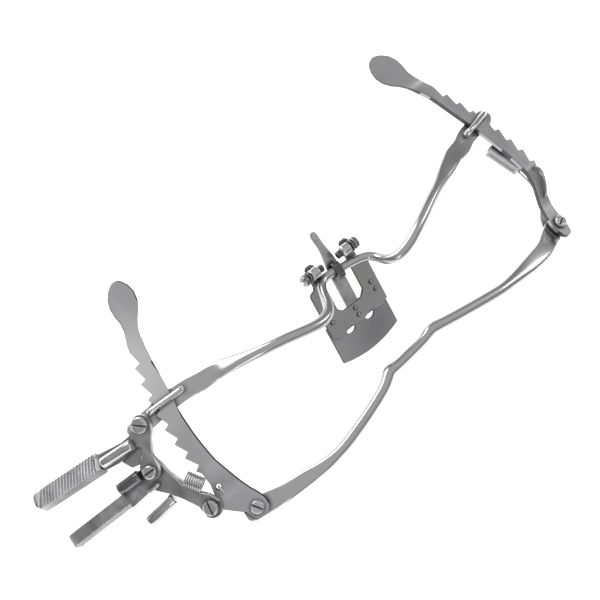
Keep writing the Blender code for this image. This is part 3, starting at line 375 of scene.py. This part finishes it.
def rounded(node, material, levels=2, crease=40.0, work=None):
    """A drawn or hammered bar: its facets become a smooth round surface, its ends stay crisp."""
    crispness = 0.85
    work = work or bench_copy(node)
    bmesh.ops.join_triangles(work, faces=work.faces, angle_face_threshold=math.radians(40),
                             angle_shape_threshold=math.radians(60))
    layers = work.edges.layers.float
    layer = layers.get("crease_edge") or layers.new("crease_edge")
    for edge in work.edges:
        if len(edge.link_faces) == 2 and edge.calc_face_angle(0.0) > math.radians(crease):
            edge[layer] = crispness
    piece = show(work, node, material, crease=60.0)
    round_off = piece.modifiers.new("round_off", "SUBSURF")
    round_off.levels = levels
    round_off.render_levels = levels
    return piece


bow_finish = dict(dark=(0.53, 0.53, 0.54), light=(0.59, 0.59, 0.60), smooth=0.22, rough=0.24,
                  stretch=(1.0, 6.0, 6.0), streaks=90.0, clouds=45.0, relief=0.02, reach=2.6 * MM)
wire_steel = steel("buffed_wire_steel", **bow_finish)
rounded("tongue_bow", wire_steel)
# The tooth bow is a copy of the wire's steel with a painted highlight: a near-white pool of light
# beside its right pivot.
tooth_steel = steel("tooth_bow_steel_painted_highlight", **bow_finish)
low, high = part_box("right_pivot_washer")
painted_highlight(tooth_steel, (low + high) / 2 + Vector((-13, -3, 0)) * MM, radius=18 * MM,
             tone=(0.98, 0.98, 0.98))
rounded("tooth_bow", tooth_steel)


# The racks are sawn from sheet, filed to saw teeth and buffed to a satin
# face. Their thumb paddles are turned out of the flat of the teeth.
def eased(node, width, material, segments=2, flat=0.6, sharp=32.0, sheet=0.0, milled=None,
          rubbed=None, sunk=None, margins=0.0):
    """A cut or turned piece: flats joined, sharp edges rounded off and marked for the edge tone,
    partly wear and partly painted highlight and painted shade. On a piece of the given sheet
    thickness, the faces that aren't backed by the other face of the sheet are its sawn sides,
    darkened partly as painted shade. A milled grip's small faces that look the milled way are
    darkened as painted shade in its grooves, and its plain upward faces as much as margins says.
    The edge that looks the rubbed way is filed off more than the others. The broad face that looks
    the sunk way is pressed in inside its rim."""
    work = bench_copy(node)
    inside = BVHTree.FromBMesh(work)
    bmesh.ops.dissolve_degenerate(work, dist=0.06 * MM, edges=work.edges)
    bmesh.ops.dissolve_limit(work, angle_limit=math.radians(flat), verts=work.verts,
                             edges=work.edges)
    if sunk:
        broad = max((f for f in work.faces if f.normal.dot(sunk) > 0.95),
                    key=lambda f: f.calc_area())
        for inset, pressed in ((0.9 * MM, 0.0), (0.2 * MM, 0.35 * MM)):
            bmesh.ops.inset_region(work, faces=[broad], thickness=inset, depth=-pressed,
                                   use_even_offset=True)
    # Bevelled edges get the edge tone, partly wear and partly painted highlight and painted shade;
    # sawn sides get a darker tone, partly painted shade.
    wear_and_painted_light = work.faces.layers.float.new("edge_wear_and_light")
    sawn_and_shade = work.faces.layers.float.new("sawn_side_and_shade")
    smallest_margin, largest_flank = 3.0, 14.0
    for face in work.faces:
        spot = face.calc_center_median() - face.normal * 0.01 * MM
        depth = inside.ray_cast(spot, -face.normal)[3] if sheet else None
        face[sawn_and_shade] = 1.0 if depth is not None and depth > sheet else 0.0
        area = face.calc_area() / MM ** 2
        if milled and area < largest_flank and face.normal.dot(milled) > 0.5:
            face[sawn_and_shade] = 1.0
        elif (margins and smallest_margin < area < largest_flank and face.normal.z > 0.6
              and abs(face.normal.dot(milled)) < 0.5):
            face[sawn_and_shade] = margins
    filed_width = 5.0 * width
    for offset in ((filed_width, width) if rubbed else (width,)):
        corners = [e for e in work.edges if len(e.link_faces) == 2 and e.is_convex
                   and e.calc_face_angle(0.0) > math.radians(sharp)]
        if offset == filed_width:
            corners = [e for e in corners if any(f.normal.dot(rubbed) > 0.75 for f in e.link_faces)
                       and any(f.normal.z > 0.3 for f in e.link_faces)]
        cut = bmesh.ops.bevel(work, geom=corners, offset=offset, affect="EDGES",
                              segments=segments, profile=0.5, material=-1,
                              clamp_overlap=False, loop_slide=True)
        for face in cut["faces"]:
            face[wear_and_painted_light] = 1.0
            face[sawn_and_shade] = 0.0
    bmesh.ops.triangulate(work, faces=[f for f in work.faces if len(f.verts) > 4])
    piece = show(work, node, material, crease=50.0)
    piece.modifiers.new("flats_stay_flat", "WEIGHTED_NORMAL").keep_sharp = True
    return piece


# The racks' bevelled edges take a near-black tone, a painted dark line along them; the left rack's
# rubbed edge is bevelled wider so that its painted line shows. Their sawn sides are darkened,
# partly as painted shade.
for side, dark, light, rubbed in (
        ("left", (0.47, 0.47, 0.48), (0.58, 0.58, 0.60), Vector((0.94, 0.34, 0))),
        ("right", (0.42, 0.42, 0.43), (0.52, 0.52, 0.53), None)):
    rack_steel = steel(side + "_rack_steel", dark, light, smooth=0.36, rough=0.48,
                       stretch=(7.0, 1.0, 7.0), clouds=30.0, relief=0.08,
                       edge_wear_and_light_tone=(0.05, 0.05, 0.052), sawn_and_shade=(0.12, 0.12, 0.125))
    if side == "left":
        # Painted highlight: a pool of light on the left rack beside its staple.
        low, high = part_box("left_staple")
        painted_highlight(rack_steel, (low + high) / 2 + Vector((-6, 14, 0)) * MM, radius=26 * MM,
                     tone=(0.95, 0.95, 0.95))
    eased(side + "_rack", 0.10 * MM, rack_steel, flat=2.0, sheet=2.6 * MM,
          rubbed=rubbed)

# The staples are short lengths of bright wire bent over the racks and
# brazed into the straps of the tongue bow.
bright_steel = steel("bright_wire_steel", (0.55, 0.55, 0.56), (0.78, 0.78, 0.79),
                     smooth=0.12, rough=0.24, streaks=120.0, clouds=60.0)
for side in ("left", "right"):
    rounded(side + "_staple", bright_steel, crease=70.0)

# Each pivot is turned: a slotted cheese-head screw, a washer under the rack
# and a six-sided nut behind the bow's eye.
turned_steel = steel("turned_steel", (0.55, 0.55, 0.56), (0.68, 0.68, 0.69),
                     smooth=0.24, rough=0.30, streaks=160.0, clouds=70.0, relief=0.03)
# Painted shade: the pieces this steel is laid on are toned nearly black.
shadow_steel = steel("shade_dark_steel", (0.06, 0.06, 0.062), (0.17, 0.17, 0.175),
                     smooth=0.28, rough=0.42, streaks=90.0, edge_wear_and_light_tone=(0.30, 0.30, 0.31))
for side in ("left", "right"):
    eased(side + "_pivot_screw", 0.10 * MM, turned_steel)
    eased(side + "_pivot_washer", 0.08 * MM, shadow_steel)
    eased(side + "_pivot_nut", 0.12 * MM, turned_steel)

# The guard arm is a flat strip from the right eye, with a channel folded
# from thin sheet at its end.
rounded("right_guard_arm", wire_steel)
channel_steel = steel("folded_channel_steel", (0.26, 0.26, 0.27), (0.40, 0.40, 0.41),
                      smooth=0.24, rough=0.40, stretch=(1.0, 4.0, 4.0), streaks=90.0)
eased("right_guard_channel", 0.12 * MM, channel_steel,
      sunk=Vector((-0.90, -0.29, 0.33)))

# The tongue plate is a notched carrier with a thin blade riveted under it.
# Both are sheet, with a fine satin grain across the plate.
# Painted shade: the sheet edges of the plate and blade take a near-black sawn tone and a dark edge
# tone, a dark outline round them.
plate_steel = steel("satin_plate_steel", (0.44, 0.44, 0.435), (0.54, 0.54, 0.535),
                    smooth=0.28, rough=0.40, stretch=(1.0, 2.0, 2.0), clouds=60.0, relief=0.06,
                    edge_wear_and_light_tone=(0.22, 0.22, 0.22), sawn_and_shade=(0.04, 0.04, 0.04))
blade_steel = steel("satin_blade_steel", (0.34, 0.34, 0.36), (0.46, 0.46, 0.48),
                    smooth=0.26, rough=0.38, stretch=(1.0, 2.0, 2.0), streaks=45.0, clouds=50.0,
                    relief=0.06, edge_wear_and_light_tone=(0.22, 0.22, 0.23), sawn_and_shade=(0.04, 0.04, 0.04))
# Painted highlight: a lighter pool at the blade's near corner.
low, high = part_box("tongue_blade")
painted_highlight(blade_steel, Vector((low.x, (low.y + high.y) / 2, low.z)), radius=14 * MM,
             tone=(0.62, 0.62, 0.63))
eased("carrier_plate", 0.08 * MM, plate_steel, sheet=1.9 * MM)
eased("tongue_blade", 0.06 * MM, blade_steel, sheet=1.6 * MM)
rivet_steel = steel("rivet_steel", (0.38, 0.38, 0.38), (0.48, 0.48, 0.48),
                    smooth=0.28, rough=0.40, clouds=40.0, relief=0.06, sawn_and_shade=(0.14, 0.14, 0.14))
for number in range(1, 7):
    rivet = "plate_rivet_%d" % number
    work = bench_copy(rivet)
    head = [f for f in work.faces if f.normal.z > 0.3]
    out = sum((f.normal * f.calc_area() for f in head), Vector()).normalized()
    # Painted shade: each rivet's sloping rim takes a dark tone, a dark ring round its head.
    rim_shade = work.faces.layers.float.new("sawn_side_and_shade")
    for face in work.faces:
        face[rim_shade] = 1.0 if face.normal.dot(out) < 0.92 else 0.0
    show(work, rivet, rivet_steel, crease=60.0)

# The finger strip is sprung steel and passes through the notch, down to its
# floor. The dark block clips it to the bow's middle bar.
strip_steel = steel("sprung_strip_steel", (0.32, 0.32, 0.32), (0.76, 0.76, 0.76),
                    smooth=0.26, rough=0.42, streaks=220.0, clouds=130.0, relief=0.08)
foot_length, added_length = 1.6 * MM, 0.6 * MM
work = bench_copy("finger_strip")
foot = min(work.verts, key=lambda v: v.co.y).co.copy()
tip = max(work.verts, key=lambda v: v.co.y).co.copy()
down_strip = (foot - tip).normalized()
foot_end = max(v.co.dot(down_strip) for v in work.verts)
foot_verts = [v for v in work.verts if v.co.dot(down_strip) > foot_end - foot_length]
bmesh.ops.translate(work, verts=foot_verts, vec=down_strip * added_length)
rounded("finger_strip", strip_steel, work=work)
eased("catch_block", 0.15 * MM, shadow_steel)

# Each clamp screw is turned steel and stands over an ear of the carrier: a
# bright barrel, a disc, a slotted head and a stud; the disc and stud are near black and the head
# darker than turned steel, as painted shade.
# Painted shade: the clamp screw heads are toned darker than the turned steel they are made of.
shaded_clamp_steel = steel("clamp_screw_steel_shaded", (0.24, 0.24, 0.245), (0.38, 0.38, 0.385),
                    smooth=0.30, rough=0.42, streaks=160.0, clouds=70.0, relief=0.03)
for side in ("left", "right"):
    eased(side + "_clamp_barrel", 0.15 * MM, turned_steel)
    eased(side + "_clamp_disc", 0.10 * MM, shadow_steel)
    eased(side + "_clamp_screw", 0.06 * MM, shaded_clamp_steel)
    eased(side + "_clamp_stud", 0.10 * MM, shadow_steel)

# The spreader levers are forged and filed, with thumb grips milled across
# one face. A turned pin joins them and two screws hold them to the gag.
lever_steel = steel("forged_lever_steel", (0.30, 0.30, 0.31), (0.62, 0.62, 0.63),
                    smooth=0.28, rough=0.42, stretch=(5.0, 1.0, 5.0), streaks=80.0, clouds=140.0,
                    edge_wear_and_light_tone=(0.62, 0.62, 0.63), sawn_and_shade=(0.06, 0.06, 0.063), reach=2.6 * MM)
# Painted shade: the lower lever's barrel, which lies partly under the other parts, is toned dark.
barrel_shade_steel = steel("shaded_barrel_steel", (0.16, 0.16, 0.165), (0.30, 0.30, 0.31),
                     smooth=0.22, rough=0.34, streaks=90.0)
# Painted shade: the milled flanks of the grips take a near-black tone, dark grooves between the
# ridges.
for lever, milled, margins in (("upper_lever", Vector((-0.751, 0.200, -0.630)), 0.6),
                               ("lower_lever", Vector((-0.760, 0.124, -0.637)), 0.0)):
    eased(lever, 0.04 * MM, lever_steel, segments=1, milled=milled,
          margins=margins)
for bar, finish, slot_name in (("upper_barrel", bright_steel, "polished_steel"),
                               ("lower_barrel", barrel_shade_steel, "dark_steel"),
                               ("stop_peg", bright_steel, "polished_steel"),
                               ("latch_pin", turned_steel, "polished_steel")):
    rounded(bar, finish)
for bar, finish, slot_name in (("grip_web", plate_steel, "polished_steel"),
                               ("upper_boss_screw", turned_steel, "polished_steel"),
                               ("lower_boss_screw", turned_steel, "polished_steel"),
                               ("spreader_pin", turned_steel, "polished_steel"),
                               ("lower_boss_collar", lever_steel, "satin_steel")):
    eased(bar, 0.10 * MM, finish)

# The spring is close-wound music wire with two straight tails, and the second
# tail's end is bent down and seated in the lower lever. The hooks are bent
# wire too, the left one bright and the right one like the spring.
spring_steel = steel("spring_wire_steel", (0.34, 0.34, 0.33), (0.66, 0.66, 0.64),
                     smooth=0.16, rough=0.28, streaks=200.0, clouds=80.0)
low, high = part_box("spreader_pin")
tilt, pin_above_hub = math.radians(40), 0.825 * MM
outward = Vector((-math.cos(tilt), 0, -math.sin(tilt)))
upright = Vector((-math.sin(tilt), 0, math.cos(tilt)))
hub = (low + high) / 2 - upright * pin_above_hub


def by_lever(x, y, z):
    """A place given in millimetres from the levers' pin: along the grips, across them and up."""
    return hub + (outward * x + Vector((0, y, 0)) + upright * z) * MM


coil_start, coil_end = by_lever(-7.2, -9.3, 2.5), by_lever(-9.8, -14.9, 2.5)
coil_axis = (coil_end - coil_start).normalized()
turns, steps, coil_radius, wire_radius, tail_radius = 8, 24, 2.3 * MM, 0.25 * MM, 0.40 * MM
beside = coil_axis.cross(upright).normalized()
work = bmesh.new()
ring = bmesh.ops.create_circle(work, segments=10, radius=wire_radius, cap_ends=False)["verts"]
stand = Matrix((beside, coil_axis, beside.cross(coil_axis))).transposed().to_4x4()
first_leaves, second_leaves = (end + beside * coil_radius for end in (coil_start, coil_end))
bmesh.ops.transform(work, verts=ring, matrix=Matrix.Translation(first_leaves) @ stand)
rise = coil_axis * ((coil_end - coil_start).length / (turns * steps))
bmesh.ops.spin(work, geom=ring + list({e for v in ring for e in v.link_edges}), cent=coil_start,
               axis=coil_axis, dvec=rise, angle=2 * math.pi * turns, steps=turns * steps,
               use_duplicate=False)
bmesh.ops.holes_fill(work, edges=[e for e in work.edges if e.is_boundary], sides=0)
first_bend, first_end = by_lever(-5.2, -2.0, 3.9), by_lever(-5.2, 3.6, 3.6)
second_bend, second_end = by_lever(-10.0, -18.4, 3.6), by_lever(-10.6, -21.6, 3.2)
lever_below = bench_copy("lower_lever")
seat = BVHTree.FromBMesh(lever_below).find_nearest(second_end)[0]
lever_below.free()
for start, end in ((first_leaves, first_bend), (first_bend, first_end),
                   (second_leaves, second_bend), (second_bend, second_end), (second_end, seat)):
    along = end - start
    lay = along.to_track_quat("Z", "Y").to_matrix().to_4x4()
    bmesh.ops.create_cone(work, cap_ends=True, segments=12, radius1=tail_radius,
                          radius2=tail_radius, depth=along.length + tail_radius,
                          matrix=Matrix.Translation((start + end) / 2) @ lay)
bmesh.ops.recalc_face_normals(work, faces=work.faces)
show(work, "spreader_spring", spring_steel, crease=60.0)
rounded("left_spring_hook", bright_steel, levels=1, crease=75.0)
rounded("right_spring_hook", spring_steel, levels=1, crease=75.0)

bpy.context.view_layer.update()
